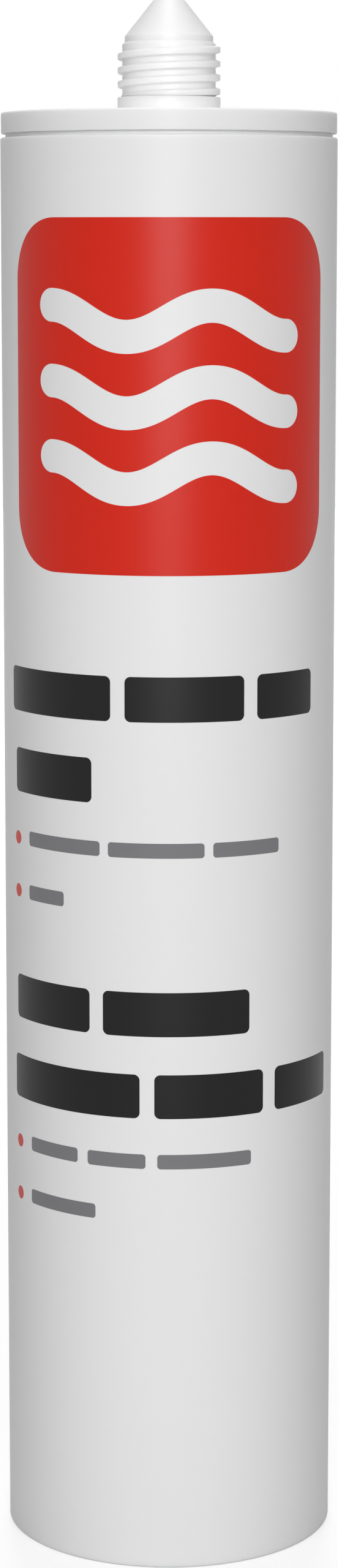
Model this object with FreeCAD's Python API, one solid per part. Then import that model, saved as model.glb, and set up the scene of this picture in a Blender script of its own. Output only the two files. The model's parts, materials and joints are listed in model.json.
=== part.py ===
"""Sealant cartridge for a caulking gun, with a threaded nipple whose cone tip is cut off before use.

Three pieces: the moulded tube, the piston that closes its open rear end, and the paste between them.
The tube stands on its rear rim. Z runs up its axis from the middle of that rim, and the printed
front faces -Y. Sizes are in millimetres.
"""
import FreeCAD
import Part
import math
import os

# Barrel
BARREL_OD = 49.7
BARREL_WALL = 1.55
TUBE_HEIGHT = 215.0  # rear rim to shoulder face
RIM_CHAMFER = 0.4
LEAD_IN_STEP = 0.25  # the mouth is this much wider all round, so that the piston goes in
LEAD_IN_DEPTH = 6.0
LEAD_IN_TAPER = 1.5

# Shoulder, with the ring and the groove under it
SHOULDER_THICKNESS = 2.2
SHOULDER_INSIDE_CHAMFER = 1.0
RING_HEIGHT = 3.07
RING_INSET = 0.1
RING_CHAMFER = 0.3
GROOVE_WIDTH = 0.56
GROOVE_DEPTH = 0.72
BARREL_TOP_CHAMFER = 0.4

# Nipple
NIPPLE_WALL = 1.4
COLLAR_HEIGHT = 2.25
COLLAR_STEP = 0.04  # the collar stands this much proud of the thread
COLLAR_CHAMFER = 0.2
NIPPLE_ROOT_ROUND = 0.6
THREADED_LENGTH = 7.6
NECK_TAPER = 0.4
NECK_INSET = 0.38
NECK_LENGTH = 0.8
CONE_LENGTH = 5.2
TIP_D = 4.6
TIP_ROUND = 0.2
TIP_WALL = 1.2

# Thread: single start, right hand
THREAD_MINOR_D = 13.74
THREAD_DEPTH = 0.67
THREAD_PITCH = 2.0
THREAD_ROOT_WIDTH = 1.4
THREAD_CREST_WIDTH = 0.8
THREAD_FRONT_HEIGHT = 0.34  # first ridge above the collar, on the front line
FRONT_ANGLE = -90  # the front line round the axis, from +X
THREAD_END_GAP = 0.3
THREAD_SEAT = 0.3  # how far the ridge's foot reaches into the nipple

# Piston
PISTON_RECESS = 10.0  # rear rim of the tube to rear rim of the piston
PISTON_LENGTH = 20.0
PISTON_CLEARANCE = 0.05  # all round, at the sealing lips
PISTON_FACE = 1.6
FACE_RISE = 0.8  # the face is a low cone with a flat middle
FACE_LAND = 1.0
PISTON_CORNER_GAP = 0.2  # how much more the front edge is cut back than the corner it ends in
PISTON_WALL = 1.2
LIP_HEIGHT = 2.4
LIP_DEPTH = 0.7
LIP_SLOPE = 0.8
SKIRT_RIM_CHAMFER = 0.3
HUB_OD = 10.0
HUB_WALL = 1.4
RIB_COUNT = 8
RIB_THICKNESS = 1.2
RIB_SETBACK = 8.0  # rear rim of the piston to the ribs, where the gun's push plate bears

# Paste
PASTE_GAP = 0.1
FRONT_STOP_GAP = 0.5  # left between the piston and the shoulder at the end of the stroke

BARREL_R = BARREL_OD / 2
BORE_R = BARREL_R - BARREL_WALL
LEAD_IN_R = BORE_R + LEAD_IN_STEP
SHOULDER_INSIDE_Z = TUBE_HEIGHT - SHOULDER_THICKNESS
RING_R = BARREL_R - RING_INSET
GROOVE_R = RING_R - GROOVE_DEPTH
GROOVE_TOP_Z = TUBE_HEIGHT - RING_HEIGHT
GROOVE_BOTTOM_Z = GROOVE_TOP_Z - GROOVE_WIDTH

THREAD_MINOR_R = THREAD_MINOR_D / 2
THREAD_MAJOR_R = THREAD_MINOR_R + THREAD_DEPTH
COLLAR_R = THREAD_MAJOR_R + COLLAR_STEP
COLLAR_TOP_Z = TUBE_HEIGHT + COLLAR_HEIGHT
THREAD_TOP_Z = COLLAR_TOP_Z + THREADED_LENGTH
NECK_R = THREAD_MINOR_R - NECK_INSET
NECK_Z = THREAD_TOP_Z + NECK_TAPER
CONE_Z = NECK_Z + NECK_LENGTH
TIP_Z = CONE_Z + CONE_LENGTH
TIP_R = TIP_D / 2
CONE_SLOPE = math.atan2(NECK_R - TIP_R, CONE_LENGTH)
NIPPLE_BORE_R = NECK_R - NIPPLE_WALL
TIP_INSIDE_Z = TIP_Z - TIP_WALL

PISTON_FRONT_Z = PISTON_RECESS + PISTON_LENGTH
PISTON_TOP_Z = PISTON_FRONT_Z + FACE_RISE
LIP_R = BORE_R - PISTON_CLEARANCE
SKIRT_R = LIP_R - LIP_DEPTH
SKIRT_BORE_R = SKIRT_R - PISTON_WALL
FRONT_CHAMFER = SHOULDER_INSIDE_CHAMFER + PISTON_CORNER_GAP
FACE_R = LIP_R - FRONT_CHAMFER - FACE_LAND
RIB_Z = PISTON_RECESS + RIB_SETBACK
HUB_R = HUB_OD / 2
PISTON_STROKE = SHOULDER_INSIDE_Z - FRONT_STOP_GAP - PISTON_TOP_Z

CHAMFER = "chamfer"
ROUND = "round"


def at(r, z):
    """A point of a half section, r from the axis and z up it."""
    return FreeCAD.Vector(r, 0, z)


def line(start, end):
    return Part.LineSegment(start, end).toShape()


def cut_corner(before, corner, after, style, size):
    """The chamfer or round that takes the place of a corner between two straight sides."""
    back = (before - corner).normalize()
    ahead = (after - corner).normalize()
    if style == CHAMFER:
        return Part.LineSegment(corner + back * size, corner + ahead * size)
    half = back.getAngle(ahead) / 2
    reach = size / math.tan(half)
    nearest = corner + (back + ahead).normalize() * (size / math.sin(half) - size)
    return Part.Arc(corner + back * reach, nearest, corner + ahead * reach)


def section(corners):
    """A closed flat face from corners of (r, z), some with a style and size of their edge."""
    points = [at(*corner[:2]) for corner in corners]
    count = len(points)
    cuts = {
        i: cut_corner(points[i - 1], points[i], points[(i + 1) % count], *corner[2:])
        for i, corner in enumerate(corners)
        if len(corner) > 2
    }
    edges = []
    for i in range(count):
        j = (i + 1) % count
        start = cuts[i].EndPoint if i in cuts else points[i]
        end = cuts[j].StartPoint if j in cuts else points[j]
        if i in cuts:
            edges.append(cuts[i].toShape())
        edges.append(line(start, end))
    return Part.Face(Part.Wire(edges))


def turned(face):
    """A half section turned once round the axis."""
    return face.revolve(at(0, 0), at(0, 1), 360)


def cone_r(z, depth):
    """Radius at height z of the cone that lies a depth inside the nipple's outer cone."""
    return NECK_R - depth / math.cos(CONE_SLOPE) - (z - CONE_Z) * math.tan(CONE_SLOPE)


def nipple_inside(gap):
    """Corners of the nipple's bore from its blind end to the shoulder, moved inwards by a gap."""
    depth = NIPPLE_WALL + gap
    bore_r = NIPPLE_BORE_R - gap
    foot_z = CONE_Z - (bore_r - cone_r(CONE_Z, depth)) / math.tan(CONE_SLOPE)
    end_z = TIP_INSIDE_Z - gap
    return [
        (0, end_z),
        (cone_r(end_z, depth), end_z),
        (bore_r, foot_z),
        (bore_r, SHOULDER_INSIDE_Z - gap),
    ]


def tube_body():
    """The whole tube but for its thread, from the tip down the outside and back up the bore."""
    outside = [
        (0, TIP_Z),
        (TIP_R, TIP_Z, ROUND, TIP_ROUND),
        (NECK_R, CONE_Z),
        (NECK_R, NECK_Z),
        (THREAD_MINOR_R, THREAD_TOP_Z),
        (THREAD_MINOR_R, COLLAR_TOP_Z),
        (COLLAR_R, COLLAR_TOP_Z, CHAMFER, COLLAR_CHAMFER),
        (COLLAR_R, TUBE_HEIGHT, ROUND, NIPPLE_ROOT_ROUND),
        (RING_R, TUBE_HEIGHT, CHAMFER, RING_CHAMFER),
        (RING_R, GROOVE_TOP_Z),
        (GROOVE_R, GROOVE_TOP_Z),
        (GROOVE_R, GROOVE_BOTTOM_Z),
        (BARREL_R, GROOVE_BOTTOM_Z, CHAMFER, BARREL_TOP_CHAMFER),
        (BARREL_R, 0, CHAMFER, RIM_CHAMFER),
    ]
    inside = [
        (LEAD_IN_R, 0),
        (LEAD_IN_R, LEAD_IN_DEPTH),
        (BORE_R, LEAD_IN_DEPTH + LEAD_IN_TAPER),
        (BORE_R, SHOULDER_INSIDE_Z, CHAMFER, SHOULDER_INSIDE_CHAMFER),
    ]
    return turned(section(outside + inside + nipple_inside(0)[::-1]))


def ridge_section():
    """The thread's ridge across, with its foot sunk into the nipple."""
    flank = (THREAD_ROOT_WIDTH - THREAD_CREST_WIDTH) / 2
    foot = THREAD_ROOT_WIDTH / 2 + flank * THREAD_SEAT / THREAD_DEPTH
    crest = THREAD_CREST_WIDTH / 2
    return section([
        (THREAD_MINOR_R - THREAD_SEAT, -foot),
        (THREAD_MAJOR_R, -crest),
        (THREAD_MAJOR_R, crest),
        (THREAD_MINOR_R - THREAD_SEAT, foot),
    ])


def thread():
    """The ridge, from inside the collar up to its blunt end below the neck."""
    start_z = COLLAR_TOP_Z - THREAD_ROOT_WIDTH / 2
    front_z = COLLAR_TOP_Z + THREAD_FRONT_HEIGHT
    path = Part.makeLongHelix(THREAD_PITCH, THREAD_TOP_Z - THREAD_END_GAP - start_z, THREAD_MINOR_R)
    ridge = path.makePipeShell([ridge_section().OuterWire], True, True)
    ridge.rotate(at(0, 0), at(0, 1), FRONT_ANGLE - 360 * (front_z - start_z) / THREAD_PITCH)
    ridge.translate(at(0, start_z))
    return ridge


def cartridge():
    return tube_body().fuse(thread())


def piston_blank():
    """The piston's outer form: a low cone face, two sealing lips and the relieved skirt."""
    return turned(section([
        (0, PISTON_TOP_Z),
        (HUB_R, PISTON_TOP_Z),
        (FACE_R, PISTON_FRONT_Z),
        (LIP_R, PISTON_FRONT_Z, CHAMFER, FRONT_CHAMFER),
        (LIP_R, PISTON_FRONT_Z - LIP_HEIGHT),
        (SKIRT_R, PISTON_FRONT_Z - LIP_HEIGHT - LIP_SLOPE),
        (SKIRT_R, PISTON_RECESS + LIP_HEIGHT + LIP_SLOPE),
        (LIP_R, PISTON_RECESS + LIP_HEIGHT),
        (LIP_R, PISTON_RECESS, CHAMFER, SKIRT_RIM_CHAMFER),
        (0, PISTON_RECESS),
    ]))


def cup():
    """The hollow behind the piston's face, which keeps the face's thickness even."""
    return turned(section([
        (0, PISTON_TOP_Z - PISTON_FACE),
        (HUB_R, PISTON_TOP_Z - PISTON_FACE),
        (SKIRT_BORE_R, PISTON_FRONT_Z - PISTON_FACE),
        (SKIRT_BORE_R, PISTON_RECESS),
        (0, PISTON_RECESS),
    ]))


def hub():
    outer = Part.makeCylinder(HUB_R, PISTON_LENGTH, at(0, RIB_Z))
    return outer.cut(Part.makeCylinder(HUB_R - HUB_WALL, PISTON_LENGTH, at(0, RIB_Z)))


def ribs():
    """The spokes from the hub to the skirt."""
    spokes = []
    for i in range(RIB_COUNT):
        corner = FreeCAD.Vector(HUB_R - HUB_WALL / 2, -RIB_THICKNESS / 2, RIB_Z)
        spoke = Part.makeBox(BORE_R, RIB_THICKNESS, PISTON_LENGTH, corner)
        spoke.rotate(at(0, 0), at(0, 1), (i + 0.5) * 360 / RIB_COUNT)
        spokes.append(spoke)
    return spokes


def piston():
    """Hollowed from behind, with the hub and ribs left standing in the cup."""
    return piston_blank().cut(cup().cut([hub()] + ribs())).removeSplitter()


def sealant():
    column = nipple_inside(PASTE_GAP) + [
        (BORE_R - PASTE_GAP, SHOULDER_INSIDE_Z - PASTE_GAP, CHAMFER, SHOULDER_INSIDE_CHAMFER),
        (BORE_R - PASTE_GAP, PISTON_FRONT_Z + PASTE_GAP),
        (FACE_R, PISTON_FRONT_Z + PASTE_GAP),
        (HUB_R, PISTON_TOP_Z + PASTE_GAP),
        (0, PISTON_TOP_Z + PASTE_GAP),
    ]
    return turned(section(column))


def main():
    os.makedirs("parts", exist_ok=True)
    for piece in (cartridge, piston, sealant):
        shape = piece()
        solid = shape.Solids[0]
        print(piece.__name__, len(shape.Solids), solid.isValid(), round(solid.Volume / 1000, 2), "cm3")
        solid.exportStep(f"parts/{piece.__name__}.step")
    print("piston stroke", round(PISTON_STROKE, 2), "mm, overall height", round(TIP_Z, 2), "mm")


main()
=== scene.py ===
"""Dresses the sealant cartridge: the moulded tube with its print, its piston, its paste and a studio."""
import json
import math

import bmesh
import bpy
from bpy.props import FloatProperty, FloatVectorProperty, IntProperty, PointerProperty
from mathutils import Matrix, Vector


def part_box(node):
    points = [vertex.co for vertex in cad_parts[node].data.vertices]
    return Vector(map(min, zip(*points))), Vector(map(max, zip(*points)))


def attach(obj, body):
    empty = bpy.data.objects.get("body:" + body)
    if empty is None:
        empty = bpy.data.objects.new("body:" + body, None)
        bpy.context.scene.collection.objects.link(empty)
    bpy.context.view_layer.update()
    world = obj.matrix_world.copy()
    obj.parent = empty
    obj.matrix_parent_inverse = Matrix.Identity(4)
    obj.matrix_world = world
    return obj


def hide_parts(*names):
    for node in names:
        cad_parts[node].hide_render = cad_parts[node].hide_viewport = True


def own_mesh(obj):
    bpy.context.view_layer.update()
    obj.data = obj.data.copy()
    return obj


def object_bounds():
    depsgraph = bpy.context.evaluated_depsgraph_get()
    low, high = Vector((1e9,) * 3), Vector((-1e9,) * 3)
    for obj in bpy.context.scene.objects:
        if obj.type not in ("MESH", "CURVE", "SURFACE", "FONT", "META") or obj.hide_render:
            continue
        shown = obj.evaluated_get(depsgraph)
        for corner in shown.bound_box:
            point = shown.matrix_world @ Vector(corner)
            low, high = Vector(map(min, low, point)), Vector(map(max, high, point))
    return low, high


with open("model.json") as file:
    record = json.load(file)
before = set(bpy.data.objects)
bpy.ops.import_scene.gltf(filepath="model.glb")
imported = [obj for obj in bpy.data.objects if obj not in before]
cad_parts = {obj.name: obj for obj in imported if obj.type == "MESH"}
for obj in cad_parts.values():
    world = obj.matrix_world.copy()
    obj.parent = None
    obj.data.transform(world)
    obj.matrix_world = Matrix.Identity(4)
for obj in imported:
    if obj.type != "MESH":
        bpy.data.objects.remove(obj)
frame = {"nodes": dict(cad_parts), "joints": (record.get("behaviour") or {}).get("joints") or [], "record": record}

bl_info = {
    "name": "Sealant Cartridge",
    "version": (1, 0, 0),
    "blender": (4, 5, 0),
    "location": "3D View > Sidebar > Cartridge",
    "description": "Builds a printed sealant cartridge with its piston, paste and studio",
    "category": "Object",
}

CAD_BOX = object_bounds()
MOUNTS = {mount["name"]: mount for mount in frame["record"]["mounts"]}
SLIDE = frame["joints"][0]
MERGE = 1e-6


def mount_radius(name):
    return MOUNTS[name]["dims"]["r_mm"] / 1000


BARREL_R = mount_radius("barrel")
COLLAR_R = mount_radius("nipple_collar")
MOUTH_R = mount_radius("rear_bore")
SHOULDER_Z = MOUNTS["shoulder_face"]["pos_m"][2]
TIP_Z = CAD_BOX[1].z
PISTON_TOP_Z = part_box("piston")[1].z
PASTE_LOW, PASTE_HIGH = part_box("sealant")
PASTE_FIXED_Z = SLIDE["deforming_nodes"][0]["fixed_end_z_m"]


class TubeForm(bpy.types.PropertyGroup):
    """Sizes of the moulded tube's barrel and shoulder."""
    columns: IntProperty(name="Columns", description="Faces round the tube", default=144, min=24)
    wall: FloatProperty(
        name="Wall", description="Thickness of the barrel's wall", default=0.00155, unit="LENGTH")
    rim_round: FloatProperty(
        name="Rim", description="Radius of the rear rim's edges", default=0.0004, unit="LENGTH")
    mouth_depth: FloatProperty(
        name="Mouth depth", description="Depth of the wider mouth", default=0.006, unit="LENGTH")
    mouth_taper: FloatProperty(
        name="Mouth taper", description="Height of the taper above the mouth", default=0.0015,
        unit="LENGTH")
    mouth_round: FloatProperty(
        name="Mouth edges", description="Radius at both ends of the taper", default=0.0005,
        unit="LENGTH")
    shoulder_thickness: FloatProperty(
        name="Shoulder", description="Thickness of the shoulder", default=0.0022, unit="LENGTH")
    shoulder_round: FloatProperty(
        name="Inside corner", description="Radius under the shoulder", default=0.001, unit="LENGTH")
    ring_height: FloatProperty(
        name="Ring", description="Height of the ring over the groove", default=0.00307, unit="LENGTH")
    ring_inset: FloatProperty(
        name="Ring inset", description="How far the ring stands back", default=0.0001, unit="LENGTH")
    ring_round: FloatProperty(
        name="Ring edge", description="Radius of the ring's top edge", default=0.00025, unit="LENGTH")
    groove_width: FloatProperty(
        name="Groove width", description="Height of the groove", default=0.00056, unit="LENGTH")
    groove_depth: FloatProperty(
        name="Groove depth", description="Depth of the groove", default=0.00064, unit="LENGTH")
    groove_round: FloatProperty(
        name="Groove edges", description="Radius of the edges in the groove", default=0.00012,
        unit="LENGTH")
    barrel_top_round: FloatProperty(
        name="Barrel edge", description="Radius of the barrel's edge at the groove", default=0.0003,
        unit="LENGTH")


class NippleForm(bpy.types.PropertyGroup):
    """Sizes of the threaded nipple."""
    wall: FloatProperty(
        name="Wall", description="Thickness of the nipple's wall", default=0.0014, unit="LENGTH")
    tip_wall: FloatProperty(
        name="Tip wall", description="Thickness of the closed tip", default=0.0012, unit="LENGTH")
    collar_height: FloatProperty(
        name="Collar", description="Height of the collar", default=0.00225, unit="LENGTH")
    collar_round: FloatProperty(
        name="Collar edge", description="Radius of the collar's edge", default=0.00015, unit="LENGTH")
    root_round: FloatProperty(
        name="Foot", description="Radius where the nipple meets the shoulder", default=0.0006,
        unit="LENGTH")
    threaded_length: FloatProperty(
        name="Thread length", description="Height of the threaded part", default=0.0076, unit="LENGTH")
    pitch: FloatProperty(
        name="Pitch", description="Rise of one turn of the thread", default=0.002, unit="LENGTH")
    minor_radius: FloatProperty(
        name="Core radius", description="Radius between the ridges", default=0.00687, unit="LENGTH")
    collar_step: FloatProperty(
        name="Collar step", description="How far the collar stands over the ridges", default=0.00004,
        unit="LENGTH")
    ridge_root: FloatProperty(
        name="Ridge foot", description="Width of the ridge at its foot", default=0.00122,
        unit="LENGTH")
    ridge_crest: FloatProperty(
        name="Ridge crest", description="Width of the ridge at its crest", default=0.0008,
        unit="LENGTH")
    ridge_round: FloatProperty(
        name="Ridge edges", description="Radius of the ridge's edges", default=0.0001, unit="LENGTH")
    front_height: FloatProperty(
        name="First ridge", description="Its height over the collar, at the front", default=0.00034,
        unit="LENGTH")
    end_gap: FloatProperty(
        name="Thread end", description="From the end of the ridge to the neck", default=0.0004,
        unit="LENGTH")
    end_fade: FloatProperty(
        name="Thread fade", description="Rise over which the ridge ends", default=0.0003,
        unit="LENGTH")
    neck_inset: FloatProperty(
        name="Neck inset", description="How far the neck stands back", default=0.00038, unit="LENGTH")
    neck_taper: FloatProperty(
        name="Neck taper", description="Height of the taper under the neck", default=0.0004,
        unit="LENGTH")
    neck_length: FloatProperty(
        name="Neck", description="Height of the plain neck", default=0.0008, unit="LENGTH")
    neck_round: FloatProperty(
        name="Neck edge", description="Radius where the neck meets the cone", default=0.00012,
        unit="LENGTH")
    tip_radius: FloatProperty(
        name="Tip", description="Radius of the flat tip", default=0.0023, unit="LENGTH")
    tip_round: FloatProperty(
        name="Tip edge", description="Radius of the tip's edge", default=0.00035, unit="LENGTH")


class PasteForm(bpy.types.PropertyGroup):
    """Sizes of the paste over the piston."""
    crown_radius: FloatProperty(
        name="Crown", description="Radius of the flat middle of the piston's face", default=0.005,
        unit="LENGTH")
    face_radius: FloatProperty(
        name="Face", description="Radius of the piston's cone face", default=0.02105, unit="LENGTH")
    keep: FloatProperty(
        name="Rest", description="Share of its height that is left when the piston is up",
        default=0.0016)


class PrintLayout(bpy.types.PropertyGroup):
    """The print on the front, laid out on the unrolled barrel."""
    red: FloatVectorProperty(
        name="Red", description="Colour of the panel and the dots", subtype="COLOR",
        default=(0.64, 0.0165, 0.004))
    ink: FloatVectorProperty(
        name="Heading ink", description="Colour of the headings", subtype="COLOR",
        default=(0.004, 0.004, 0.005))
    fine_ink: FloatVectorProperty(
        name="Fine ink", description="Colour of the fine lines", subtype="COLOR",
        default=(0.2, 0.2, 0.21))
    panel_half_width: FloatProperty(
        name="Panel width", description="Half the red panel's width round the tube", default=0.027,
        unit="LENGTH")
    panel_low: FloatProperty(
        name="Panel foot", description="Height of the red panel's lower edge", default=0.149,
        unit="LENGTH")
    panel_high: FloatProperty(
        name="Panel top", description="Height of the red panel's upper edge", default=0.1998,
        unit="LENGTH")
    panel_round: FloatProperty(
        name="Panel corners", description="Radius of the red panel's corners", default=0.009,
        unit="LENGTH")
    bead_count: IntProperty(name="Beads", description="Pale beads on the red panel", default=3, min=1)
    bead_spacing: FloatProperty(
        name="Bead spacing", description="Height from one pale bead to the next", default=0.0108,
        unit="LENGTH")
    bead_width: FloatProperty(
        name="Bead width", description="Width of a pale bead", default=0.0048, unit="LENGTH")
    bead_swing: FloatProperty(
        name="Bead swing", description="Height of a bead's waves over its middle", default=0.0022,
        unit="LENGTH")
    bead_wave: FloatProperty(
        name="Bead wave", description="Length of one wave of a bead", default=0.0247, unit="LENGTH")
    dot_radius: FloatProperty(
        name="Dots", description="Radius of the red dots", default=0.001, unit="LENGTH")
    heading_round: FloatProperty(
        name="Heading corners", description="Radius of the heading bars' corners", default=0.0009,
        unit="LENGTH")
    fine_round: FloatProperty(
        name="Fine corners", description="Radius of the fine bars' corners", default=0.0005,
        unit="LENGTH")
    edge: FloatProperty(
        name="Ink edge", description="Width over which ink ends", default=0.00008, unit="LENGTH")


class Finishes(bpy.types.PropertyGroup):
    """Colours of the plastics and the paste."""
    barrel: FloatVectorProperty(
        name="Barrel", description="Colour of the coated barrel", subtype="COLOR",
        default=(0.82, 0.82, 0.825))
    bare: FloatVectorProperty(
        name="Nipple", description="Colour of the bare plastic", subtype="COLOR",
        default=(0.885, 0.885, 0.885))
    piston: FloatVectorProperty(
        name="Piston", description="Colour of the piston's plastic", subtype="COLOR",
        default=(0.78, 0.78, 0.76))
    paste: FloatVectorProperty(
        name="Paste", description="Colour of the paste", subtype="COLOR", default=(0.82, 0.81, 0.77))


class Studio(bpy.types.PropertyGroup):
    """The camera, the lamps and the floor."""
    lens: FloatProperty(name="Lens", description="Focal length in millimetres", default=81.14)
    camera_distance: FloatProperty(
        name="Camera distance", description="From the tube's axis to the camera", default=0.52943,
        unit="LENGTH")
    camera_height: FloatProperty(
        name="Camera height", description="Height of the camera", default=0.19823, unit="LENGTH")
    camera_tilt: FloatProperty(
        name="Camera tilt", description="How far the camera looks down",
        default=math.radians(8.936), unit="ROTATION")
    front_power: FloatProperty(name="Front lamp", description="Watts of the front lamp", default=92.0)
    back_power: FloatProperty(name="Back lamp", description="Watts of the lamp behind", default=80.0)
    top_power: FloatProperty(name="Top lamp", description="Watts of the lamp above", default=36.0)
    lamp_distance: FloatProperty(
        name="Lamp distance", description="From the tube's axis to each lamp", default=3.2,
        unit="LENGTH")
    lamp_height: FloatProperty(
        name="Lamp height", description="Height of the front and back lamps", default=1.2,
        unit="LENGTH")
    lamp_width: FloatProperty(
        name="Lamp width", description="Width of each lamp", default=1.25, unit="LENGTH")
    lamp_length: FloatProperty(
        name="Lamp length", description="Height of each lamp's face", default=2.1, unit="LENGTH")
    fill: FloatProperty(name="Fill", description="Strength of the even light", default=0.05)
    floor_half_width: FloatProperty(
        name="Floor width", description="Half the floor's width", default=2.0, unit="LENGTH")
    floor: FloatVectorProperty(
        name="Floor", description="Colour of the floor", subtype="COLOR",
        default=(0.48, 0.48, 0.48))
    floor_glow: FloatProperty(
        name="Floor white", description="How much whiter the floor looks than it is", default=0.58)
    floor_fade: FloatProperty(
        name="Floor fade", description="How much whiter still it looks at its edges", default=0.4)


class Signal:
    """A number on its way through a material's nodes. Sums on it add Math nodes."""

    def __init__(self, recipe, socket):
        self.recipe = recipe
        self.socket = socket

    def math(self, operation, *others):
        numbers = dict(enumerate((self, *others)))
        return self.recipe.number("ShaderNodeMath", {"operation": operation}, numbers)

    def __add__(self, other):
        return self.math("ADD", other)

    __radd__ = __add__

    def __sub__(self, other):
        return self.math("SUBTRACT", other)

    def __rsub__(self, other):
        return self.recipe.number("ShaderNodeMath", {"operation": "SUBTRACT"}, {0: other, 1: self})

    def __mul__(self, other):
        return self.math("MULTIPLY", other)

    __rmul__ = __mul__

    def __truediv__(self, other):
        return self.math("DIVIDE", other)

    def __neg__(self):
        return self.math("MULTIPLY", -1.0)

    def __abs__(self):
        return self.math("ABSOLUTE")

    def least(self, other):
        return self.math("MINIMUM", other)

    def most(self, other):
        return self.math("MAXIMUM", other)

    def held(self, low, high):
        return self.most(low).least(high)


class Recipe:
    """The nodes of a material or a world."""

    def __init__(self, owner, output="ShaderNodeOutputMaterial"):
        owner.use_nodes = True
        self.owner = owner
        self.tree = owner.node_tree
        self.tree.nodes.clear()
        self.output = self.node(output)

    def node(self, kind, settings=None, inputs=None):
        """A node of one type: its settings are made first, and then its sockets are fed."""
        made = self.tree.nodes.new(kind)
        for name, value in (settings or {}).items():
            setattr(made, name, value)
        for name, value in (inputs or {}).items():
            socket = made.inputs[name]
            if isinstance(value, Signal):
                value = value.socket
            if isinstance(value, bpy.types.NodeSocket):
                self.tree.links.new(value, socket)
            else:
                socket.default_value = value
        return made

    def number(self, kind, settings=None, inputs=None, output=0):
        return Signal(self, self.node(kind, settings, inputs).outputs[output])

    def place(self):
        """Where the surface point is, in metres: x, y and z, and all three as a vector."""
        where = self.node("ShaderNodeTexCoord").outputs["Object"]
        split = self.node("ShaderNodeSeparateXYZ", None, {0: where})
        return [Signal(self, split.outputs[i]) for i in range(3)], where

    def noise(self, where, scale, detail=2.0, roughness=0.5):
        inputs = {"Vector": where, "Scale": scale, "Detail": detail, "Roughness": roughness}
        return self.number("ShaderNodeTexNoise", None, inputs, "Fac")

    def mix(self, share, low, high):
        """One colour that turns into another as the share goes from 0 to 1."""
        colours = {6: low, 7: high}
        for index, colour in colours.items():
            if not isinstance(colour, bpy.types.NodeSocket):
                colours[index] = (*colour, 1.0)
        return self.node("ShaderNodeMix", {"data_type": "RGBA"}, {0: share, **colours}).outputs[2]

    def bump(self, height, distance, strength):
        inputs = {"Height": height, "Distance": distance, "Strength": strength}
        return self.node("ShaderNodeBump", None, inputs).outputs[0]

    def surface(self, shader):
        self.tree.links.new(shader.outputs[0], self.output.inputs["Surface"])
        return self.owner

    def plastic(self, inputs):
        """The shader that each solid finish ends in."""
        return self.surface(self.node("ShaderNodeBsdfPrincipled", None, inputs))


def tinted(colour, share):
    """A colour with each channel at a share of itself."""
    return [channel * share for channel in colour]


def length(a, b):
    """Length of a vector that has these two parts."""
    return (a * a + b * b).math("SQRT")


def cover(distance, edge):
    """1 inside a shape and 0 outside it, from the distance to its outline."""
    return (0.5 - distance / edge).held(0.0, 1.0)


def nearest_of(distances):
    """Distance to the nearest of several shapes."""
    found = distances[0]
    for distance in distances[1:]:
        found = found.least(distance)
    return found


def rounded_box(across, up, radius):
    """Distance to a box with round corners, from the distances to its straight sides."""
    a = across + radius
    b = up + radius
    return length(a.most(0.0), b.most(0.0)) + a.most(b).least(0.0) - radius


def row_of_bars(round_way, height, bars, low, high, radius):
    """Distance to a row of bars, each given by where it starts and ends round the tube."""
    across = nearest_of([
        abs(round_way - (start + end) / 2) - (end - start) / 2 for start, end in bars])
    up = abs(height - (low + high) / 2) - (high - low) / 2
    return rounded_box(across, up, radius)


def dot_field(round_way, height, places, radius):
    """Distance to the round dots at these places."""
    return nearest_of([length(round_way - across, height - up) - radius for across, up in places])


def wavy_bead(round_way, height, middle, layout):
    """Distance to a wavy bead with round ends, which is level where it ends."""
    rate = math.tau / layout.bead_wave
    half_length = layout.bead_wave * 0.75
    along = round_way.held(-half_length, half_length)
    phase = along * rate
    slope = phase.math("COSINE") * (layout.bead_swing * rate)
    rise = height - middle - phase.math("SINE") * layout.bead_swing
    across = rise / (slope * slope + 1.0).math("SQRT")
    return length(round_way - along, across) - layout.bead_width / 2


def arc_places(*degrees):
    """How far round the barrel from the front each angle lies, in metres."""
    return [BARREL_R * math.radians(angle) for angle in degrees]


def bars_at(*degrees):
    """Pairs of starts and ends from a row of angles."""
    ends = arc_places(*degrees)
    return list(zip(ends[::2], ends[1::2]))


HEADINGS = (
    (bars_at(-68, -20, -15, 26, 31, 57), 0.1278, 0.1344),
    (bars_at(-65.5, -27), 0.1157, 0.1223),
    (bars_at(-65.6, -28, -23, 28.4), 0.0814, 0.0880),
    (bars_at(-67.5, -10, -5, 34, 39, 70), 0.0691, 0.0757),
)
FINE_LINES = (
    (bars_at(-56.3, -24, -21, 12, 15, 40.3), 0.1079, 0.1101),
    (bars_at(-56.5, -38.5), 0.0998, 0.1020),
    (bars_at(-56, -33, -29, -8, -4, 29.2), 0.0615, 0.0637),
    (bars_at(-56.2, -26), 0.0534, 0.0556),
)
DOTS = [(arc_places(-64.4)[0], height) for height in (0.1087, 0.1007, 0.0623, 0.0542)]


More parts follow.
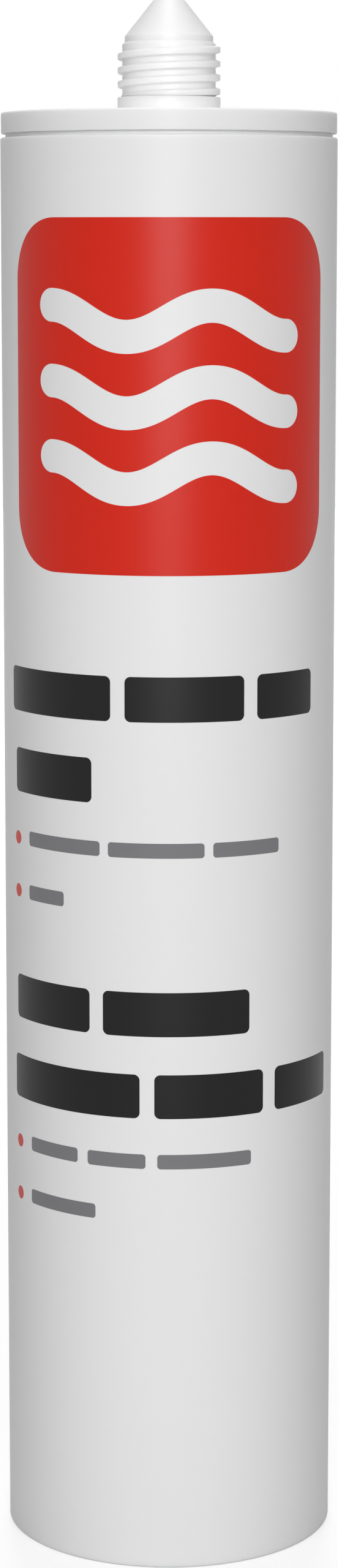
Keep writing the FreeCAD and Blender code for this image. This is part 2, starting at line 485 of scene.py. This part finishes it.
def printed_finish(layout, finishes):
    """Satin coated plastic with the print on its front."""
    recipe = Recipe(bpy.data.materials.new("printed_barrel"))
    (x, y, height), where = recipe.place()
    round_way = x.math("ARCTAN2", -y) * BARREL_R
    middle = (layout.panel_low + layout.panel_high) / 2
    half_height = (layout.panel_high - layout.panel_low) / 2
    panel = rounded_box(
        abs(round_way) - layout.panel_half_width, abs(height - middle) - half_height,
        layout.panel_round)
    beads = nearest_of([
        wavy_bead(
            round_way, height, middle + (i - (layout.bead_count - 1) / 2) * layout.bead_spacing, layout)
        for i in range(layout.bead_count)])
    dots = dot_field(round_way, height, DOTS, layout.dot_radius)
    headings = nearest_of([
        row_of_bars(round_way, height, *row, layout.heading_round) for row in HEADINGS])
    fine_lines = nearest_of([
        row_of_bars(round_way, height, *row, layout.fine_round) for row in FINE_LINES])
    red = cover(panel.most(-beads).least(dots), layout.edge)
    dark = cover(headings, layout.edge)
    fine = cover(fine_lines, layout.edge)
    cloud = recipe.noise(where, 14.0, 3.0)
    grain = recipe.noise(where, 900.0)
    swell = recipe.noise(where, 60.0, 1.0)
    colour = recipe.mix(cloud, tinted(finishes.barrel, 0.975), finishes.barrel)
    colour = recipe.mix(red, colour, layout.red)
    colour = recipe.mix(fine, colour, layout.fine_ink)
    colour = recipe.mix(dark, colour, layout.ink)
    ink = red.most(dark).most(fine)
    return recipe.plastic({
        "Base Color": colour,
        "Roughness": grain * 0.08 + 0.34 - ink * 0.04,
        "Specular IOR Level": 0.22,
        "Subsurface Weight": 0.5,
        "Subsurface Radius": (1.0, 1.0, 1.0),
        "Subsurface Scale": 0.0015,
        "Normal": recipe.bump(grain * 0.25 + swell + ink * 0.5, 0.00002, 0.6),
    })


def bare_finish(finishes):
    """Bare white polyethylene, a little glossier than the coated barrel."""
    recipe = Recipe(bpy.data.materials.new("bare_plastic"))
    where = recipe.place()[1]
    cloud = recipe.noise(where, 40.0, 3.0)
    grain = recipe.noise(where, 1200.0)
    return recipe.plastic({
        "Base Color": recipe.mix(cloud, tinted(finishes.bare, 0.97), finishes.bare),
        "Roughness": grain * 0.1 + 0.36,
        "Specular IOR Level": 0.38,
        "Subsurface Weight": 0.6,
        "Subsurface Radius": (1.0, 1.0, 1.0),
        "Subsurface Scale": 0.002,
        "Normal": recipe.bump(grain, 0.00001, 0.5),
    })


def piston_finish(finishes):
    """Natural polyethylene with faint swirls from the mould."""
    recipe = Recipe(bpy.data.materials.new("piston_plastic"))
    (x, y, height), where = recipe.place()
    swirl = recipe.noise(where, 70.0, 4.0, 0.6)
    rings = (length(x, y) * 4000.0).math("SINE")
    return recipe.plastic({
        "Base Color": recipe.mix(swirl, tinted(finishes.piston, 0.93), finishes.piston),
        "Roughness": swirl * 0.15 + 0.35,
        "Specular IOR Level": 0.4,
        "Normal": recipe.bump(rings * 0.3 + swirl, 0.00002, 0.5),
    })


def paste_finish(finishes):
    """Smooth off-white paste."""
    recipe = Recipe(bpy.data.materials.new("paste"))
    where = recipe.place()[1]
    lumps = recipe.noise(where, 120.0, 3.0)
    return recipe.plastic({
        "Base Color": recipe.mix(lumps, tinted(finishes.paste, 0.96), finishes.paste),
        "Roughness": lumps * 0.2 + 0.35,
        "Specular IOR Level": 0.4,
        "Normal": recipe.bump(lumps, 0.0001, 0.5),
    })


def studio_rays(recipe):
    """1 for rays that look at the studio, and 0 for those that carry its light."""
    path = recipe.node("ShaderNodeLightPath")
    kinds = ("Is Camera Ray", "Is Glossy Ray", "Is Transmission Ray")
    camera, glossy, clear = (Signal(recipe, path.outputs[kind]) for kind in kinds)
    return camera.most(glossy).most(clear)


def floor_finish(studio):
    """A matt floor that looks white and still takes the object's shadow."""
    recipe = Recipe(bpy.data.materials.new("floor"))
    (x, y, _), _ = recipe.place()
    far = length(x, y) / studio.floor_half_width
    white = far.least(1.0) * studio.floor_fade + studio.floor_glow
    matt = recipe.node("ShaderNodeBsdfDiffuse", None, {"Color": (*studio.floor, 1.0)})
    glow = recipe.node("ShaderNodeEmission", None, {"Strength": studio_rays(recipe) * white})
    both = recipe.node("ShaderNodeAddShader", None, {0: matt.outputs[0], 1: glow.outputs[0]})
    return recipe.surface(both)


def studio_world(studio):
    """Even light from all round, which looks white."""
    recipe = Recipe(bpy.data.worlds.new("studio"), "ShaderNodeOutputWorld")
    strength = studio_rays(recipe) * (1 - studio.fill) + studio.fill
    return recipe.surface(recipe.node("ShaderNodeBackground", None, {
        "Color": (1.0, 1.0, 1.0, 1.0), "Strength": strength}))


def rounded(corners, steps=5):
    """Points of (r, z) from corners of (r, z) or (r, z, radius), with each radius as an arc.

    A long side gets one more point close to its arc, so that the rest of it is shaded flat.
    """
    places = [Vector(corner[:2]) for corner in corners]
    points = []
    for i, corner in enumerate(corners):
        here = places[i]
        if len(corner) == 2:
            points.append(here)
            continue
        before = places[i - 1] - here
        after = places[i + 1] - here
        back = before.normalized()
        ahead = after.normalized()
        half = back.angle(ahead) / 2
        reach = corner[2] / math.tan(half)
        middle = here + (back + ahead).normalized() * (corner[2] / math.sin(half))
        spoke = here + back * reach - middle
        turn = math.copysign(math.pi - 2 * half, ahead.cross(back))
        hold = reach + corner[2]
        if before.length > 4 * hold:
            points.append(here + back * hold)
        for step in range(steps + 1):
            angle = turn * step / steps
            points.append(middle + Vector((
                spoke.x * math.cos(angle) - spoke.y * math.sin(angle),
                spoke.x * math.sin(angle) + spoke.y * math.cos(angle),
            )))
        if after.length > 4 * hold:
            points.append(here + ahead * hold)
    return points


def spin_line(bm, points, steps, turns=1, rise=0.0):
    """Spins a line of (r, z) points round the axis, and up it where it rises."""
    verts = [bm.verts.new((point[0], 0, point[1])) for point in points]
    edges = [bm.edges.new(pair) for pair in zip(verts, verts[1:])]
    bmesh.ops.spin(
        bm, geom=verts + edges, cent=(0, 0, 0), axis=(0, 0, 1), dvec=(0, 0, rise / steps),
        angle=math.tau * turns, steps=steps * turns, use_merge=not rise, use_duplicate=False)


def open_loop(bm, height, known=()):
    """The open edges that lie at one height, apart from those that are known."""
    return [
        edge for edge in bm.edges
        if edge.is_boundary and edge not in known
        and all(abs(vert.co.z - height) < MERGE for vert in edge.verts)
    ]


def cut_level(bm, height, columns, keep_above):
    """Cuts a thread off level, and leaves one point of the cut in each column."""
    cut = bmesh.ops.bisect_plane(
        bm, geom=bm.verts[:] + bm.edges[:] + bm.faces[:], dist=MERGE / 10,
        plane_co=(0, 0, height), plane_no=(0, 0, 1), use_snap_center=False,
        clear_inner=keep_above, clear_outer=not keep_above)
    rim = {}
    between = []
    for vert in cut["geom_cut"]:
        if not isinstance(vert, bmesh.types.BMVert):
            continue
        place = math.atan2(vert.co.y, vert.co.x) / math.tau * columns
        column = round(place) % columns
        if abs(place - round(place)) < 0.01:
            rim[column] = vert
        else:
            between.append((vert, column))
    bmesh.ops.weld_verts(bm, targetmap={vert: rim[column] for vert, column in between})


def finished(bm, name, materials):
    """A new piece of the tube's body, with shared points merged and its faces outwards."""
    bmesh.ops.remove_doubles(bm, verts=bm.verts[:], dist=MERGE)
    if not all(edge.is_manifold for edge in bm.edges):
        raise RuntimeError(f"{name} isn't closed")
    bmesh.ops.recalc_face_normals(bm, faces=bm.faces[:])
    for face in bm.faces:
        face.smooth = True
    for edge in bm.edges:
        edge.smooth = edge.calc_face_angle() < math.radians(32)
    mesh = bpy.data.meshes.new(name)
    bm.to_mesh(mesh)
    bm.free()
    for material in materials:
        mesh.materials.append(material)
    piece = bpy.data.objects.new(name, mesh)
    bpy.context.scene.collection.objects.link(piece)
    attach(piece, "cartridge")
    return piece


def bore_radius(tube):
    return BARREL_R - tube.wall


def inside_z(tube):
    return SHOULDER_Z - tube.shoulder_thickness


def nipple_inside(nipple, start_z, gap=0.0):
    """Corners up the nipple's bore to its blind end, moved inwards by a gap."""
    neck_r = nipple.minor_radius - nipple.neck_inset
    cone_z = SHOULDER_Z + sum((
        nipple.collar_height, nipple.threaded_length, nipple.neck_taper, nipple.neck_length))
    slope = math.atan2(neck_r - nipple.tip_radius, TIP_Z - cone_z)
    bore_r = neck_r - nipple.wall - gap
    cone_r = neck_r - (nipple.wall + gap) / math.cos(slope)
    end_z = TIP_Z - nipple.tip_wall - gap
    return [
        (bore_r, start_z),
        (bore_r, cone_z - (bore_r - cone_r) / math.tan(slope)),
        (cone_r - (end_z - cone_z) * math.tan(slope), end_z),
        (0, end_z),
    ]


def line_over_thread(nipple, neck_z):
    """From the tip down to the neck's foot."""
    neck_r = nipple.minor_radius - nipple.neck_inset
    return rounded([
        (0, TIP_Z),
        (nipple.tip_radius, TIP_Z, nipple.tip_round),
        (neck_r, neck_z + nipple.neck_length, nipple.neck_round),
        (neck_r, neck_z),
    ])


def line_under_thread(tube, nipple, collar_z):
    """From the collar down the outside, round the rear rim and up inside to the blind end."""
    ring_r = BARREL_R - tube.ring_inset
    groove_r = ring_r - tube.groove_depth
    groove_top = SHOULDER_Z - tube.ring_height
    groove_foot = groove_top - tube.groove_width
    bore_r = bore_radius(tube)
    return rounded([
        (COLLAR_R - nipple.collar_round * 1.2, collar_z),
        (COLLAR_R, collar_z, nipple.collar_round),
        (COLLAR_R, SHOULDER_Z, nipple.root_round),
        (ring_r, SHOULDER_Z, tube.ring_round),
        (ring_r, groove_top, tube.groove_round),
        (groove_r, groove_top, tube.groove_round),
        (groove_r, groove_foot, tube.groove_round),
        (BARREL_R, groove_foot, tube.barrel_top_round),
        (BARREL_R, 0, tube.rim_round),
        (MOUTH_R, 0, tube.rim_round / 2),
        (MOUTH_R, tube.mouth_depth, tube.mouth_round),
        (bore_r, tube.mouth_depth + tube.mouth_taper, tube.mouth_round),
        (bore_r, inside_z(tube), tube.shoulder_round),
        *nipple_inside(nipple, inside_z(tube)),
    ])


def thread_line(nipple):
    """One turn's height of the threaded wall, from the core up over the ridge and back."""
    major = COLLAR_R - nipple.collar_step
    core, edge = nipple.minor_radius, nipple.ridge_round
    root, crest, half = nipple.ridge_root / 2, nipple.ridge_crest / 2, nipple.pitch / 2
    return rounded([
        (core, -half),
        (core, -root, edge),
        (major, -crest, edge),
        (major, crest, edge),
        (core, root, edge),
        (core, half),
    ], 4)


def ridge_share(nipple, middle, low, high):
    """Share of its full height that the ridge has where its middle is at this height."""
    rise = (middle - low + nipple.front_height) / (nipple.pitch / 2)
    fall = (high - nipple.end_gap - middle) / nipple.end_fade
    return max(0.0, min(1.0, rise, fall))


def add_thread(bm, nipple, columns, low, high):
    """The threaded wall between two heights: a screw surface whose ridge fades at both ends."""
    pitch = nipple.pitch
    start = low + nipple.front_height - pitch * 0.75
    turns = math.ceil((high - start) / pitch + 0.5)
    spin_line(bm, thread_line(nipple), columns, turns, pitch)
    bmesh.ops.remove_doubles(bm, verts=bm.verts[:], dist=MERGE)
    for vert in bm.verts:
        radius = vert.co.xy.length
        turn = math.atan2(vert.co.y, vert.co.x) / math.tau
        middle = pitch * (turn + round(vert.co.z / pitch - turn))
        share = ridge_share(nipple, middle + start, low, high)
        vert.co.xy *= (nipple.minor_radius + (radius - nipple.minor_radius) * share) / radius
    bmesh.ops.translate(bm, vec=(0, 0, start), verts=bm.verts[:])
    cut_level(bm, low, columns, keep_above=True)
    cut_level(bm, high, columns, keep_above=False)


class CARTRIDGE_OT_tube(bpy.types.Operator):
    """Builds the moulded tube with its thread, groove and print"""
    bl_idname = "cartridge.tube"
    bl_label = "Moulded tube"

    def execute(self, context):
        tube, nipple = context.scene.cartridge_tube, context.scene.cartridge_nipple
        collar_z = SHOULDER_Z + nipple.collar_height
        thread_z = collar_z + nipple.threaded_length
        neck_z = thread_z + nipple.neck_taper
        bm = bmesh.new()
        add_thread(bm, nipple, tube.columns, collar_z, thread_z)
        thread_foot, thread_top = open_loop(bm, collar_z), open_loop(bm, thread_z)
        spin_line(bm, line_over_thread(nipple, neck_z), tube.columns)
        bmesh.ops.bridge_loops(bm, edges=thread_top + open_loop(bm, neck_z))
        spin_line(bm, line_under_thread(tube, nipple, collar_z), tube.columns)
        collar = open_loop(bm, collar_z, set(thread_foot))
        bmesh.ops.bridge_loops(bm, edges=thread_foot + collar)
        coated_r = (MOUTH_R + BARREL_R - tube.ring_inset - tube.groove_depth) / 2
        for face in bm.faces:
            middle = face.calc_center_median()
            coated = middle.xy.length > coated_r and middle.z < SHOULDER_Z - tube.ring_round
            face.material_index = 0 if coated else 1
        finishes = context.scene.cartridge_finishes
        materials = [
            printed_finish(context.scene.cartridge_print, finishes), bare_finish(finishes)]
        piece = finished(bm, "moulded_tube", materials)
        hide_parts("cartridge")
        return {"FINISHED"}


class CARTRIDGE_OT_piston(bpy.types.Operator):
    """Gives the piston its finish"""
    bl_idname = "cartridge.piston"
    bl_label = "Piston"

    def execute(self, context):
        material = piston_finish(context.scene.cartridge_finishes)
        for slot in frame["nodes"]["piston"].material_slots:
            slot.material = material
        return {"FINISHED"}


class CARTRIDGE_OT_paste(bpy.types.Operator):
    """Fills the barrel and the nipple with paste"""
    bl_idname = "cartridge.paste"
    bl_label = "Paste"

    def execute(self, context):
        tube, nipple = context.scene.cartridge_tube, context.scene.cartridge_nipple
        paste = context.scene.cartridge_paste
        material = paste_finish(context.scene.cartridge_finishes)
        radius = PASTE_HIGH.x
        gap = bore_radius(tube) - radius
        column = bmesh.new()
        spin_line(column, rounded([
            (0, PISTON_TOP_Z + gap),
            (paste.crown_radius, PISTON_TOP_Z + gap),
            (paste.face_radius, PASTE_LOW.z),
            (radius, PASTE_LOW.z),
            (radius, PASTE_FIXED_Z, tube.shoulder_round),
            (0, PASTE_FIXED_Z),
        ]), tube.columns)
        barrel_fill = finished(column, "paste_in_barrel", [material])
        plug = bmesh.new()
        spin_line(plug, [(0, PASTE_FIXED_Z), *nipple_inside(nipple, PASTE_FIXED_Z, gap)], tube.columns)
        nipple_fill = finished(plug, "paste_in_nipple", [material])
        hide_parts("sealant")
        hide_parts("sealant")
        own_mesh(barrel_fill)
        return {"FINISHED"}


def studio_lamp(studio, name, place, power):
    """A long soft lamp that looks at the middle of the tube."""
    face = bpy.data.lights.new(name, "AREA")
    face.shape = "RECTANGLE"
    face.size = studio.lamp_width
    face.size_y = studio.lamp_length
    face.energy = power
    lamp = bpy.data.objects.new(name, face)
    lamp.location = place
    aim = Vector((0, 0, SHOULDER_Z / 2)) - lamp.location
    lamp.rotation_euler = aim.to_track_quat("-Z", "Y").to_euler()
    lamp.visible_camera = False
    return lamp


class CARTRIDGE_OT_studio(bpy.types.Operator):
    """Sets the floor, the light and the camera"""
    bl_idname = "cartridge.studio"
    bl_label = "Studio"

    def execute(self, context):
        scene = context.scene
        studio = scene.cartridge_studio
        bm = bmesh.new()
        bmesh.ops.create_grid(bm, x_segments=1, y_segments=1, size=studio.floor_half_width)
        mesh = bpy.data.meshes.new("floor")
        bm.to_mesh(mesh)
        bm.free()
        mesh.materials.append(floor_finish(studio))
        floor = bpy.data.objects.new("floor", mesh)

        distance = studio.lamp_distance
        lamps = [
            studio_lamp(studio, "front_lamp", (0, -distance, studio.lamp_height), studio.front_power),
            studio_lamp(studio, "back_lamp", (0, distance, studio.lamp_height), studio.back_power),
            studio_lamp(studio, "top_lamp", (0, 0, distance), studio.top_power),
        ]
        lamps[1].visible_glossy = False

        lens = bpy.data.cameras.new("camera")
        lens.lens = studio.lens
        camera = bpy.data.objects.new("camera", lens)
        camera.location = (0, -studio.camera_distance, studio.camera_height)
        camera.rotation_euler = (math.pi / 2 - studio.camera_tilt, 0, 0)

        for thing in (floor, *lamps, camera):
            scene.collection.objects.link(thing)
        scene.camera = camera
        scene.world = studio_world(studio)
        scene.view_settings.view_transform = "Standard"
        return {"FINISHED"}


OPERATORS = (CARTRIDGE_OT_tube, CARTRIDGE_OT_piston, CARTRIDGE_OT_paste, CARTRIDGE_OT_studio)


class CARTRIDGE_PT_panel(bpy.types.Panel):
    """Lists the cartridge's pieces and the studio"""
    bl_idname = "CARTRIDGE_PT_panel"
    bl_label = "Sealant cartridge"
    bl_space_type = "VIEW_3D"
    bl_region_type = "UI"
    bl_category = "Cartridge"

    def draw(self, context):
        for operator in OPERATORS:
            self.layout.operator(operator.bl_idname)


GROUPS = {
    "cartridge_tube": TubeForm,
    "cartridge_nipple": NippleForm,
    "cartridge_paste": PasteForm,
    "cartridge_print": PrintLayout,
    "cartridge_finishes": Finishes,
    "cartridge_studio": Studio,
}
CLASSES = (*GROUPS.values(), *OPERATORS, CARTRIDGE_PT_panel)


def register():
    for cls in CLASSES:
        bpy.utils.register_class(cls)
    for name, group in GROUPS.items():
        setattr(bpy.types.Scene, name, PointerProperty(type=group))


def unregister():
    for name in GROUPS:
        delattr(bpy.types.Scene, name)
    for cls in reversed(CLASSES):
        bpy.utils.unregister_class(cls)


def main():
    register()
    bpy.ops.cartridge.tube()
    bpy.ops.cartridge.piston()
    bpy.ops.cartridge.paste()
    bpy.ops.cartridge.studio()


if __name__ == "__main__":
    main()
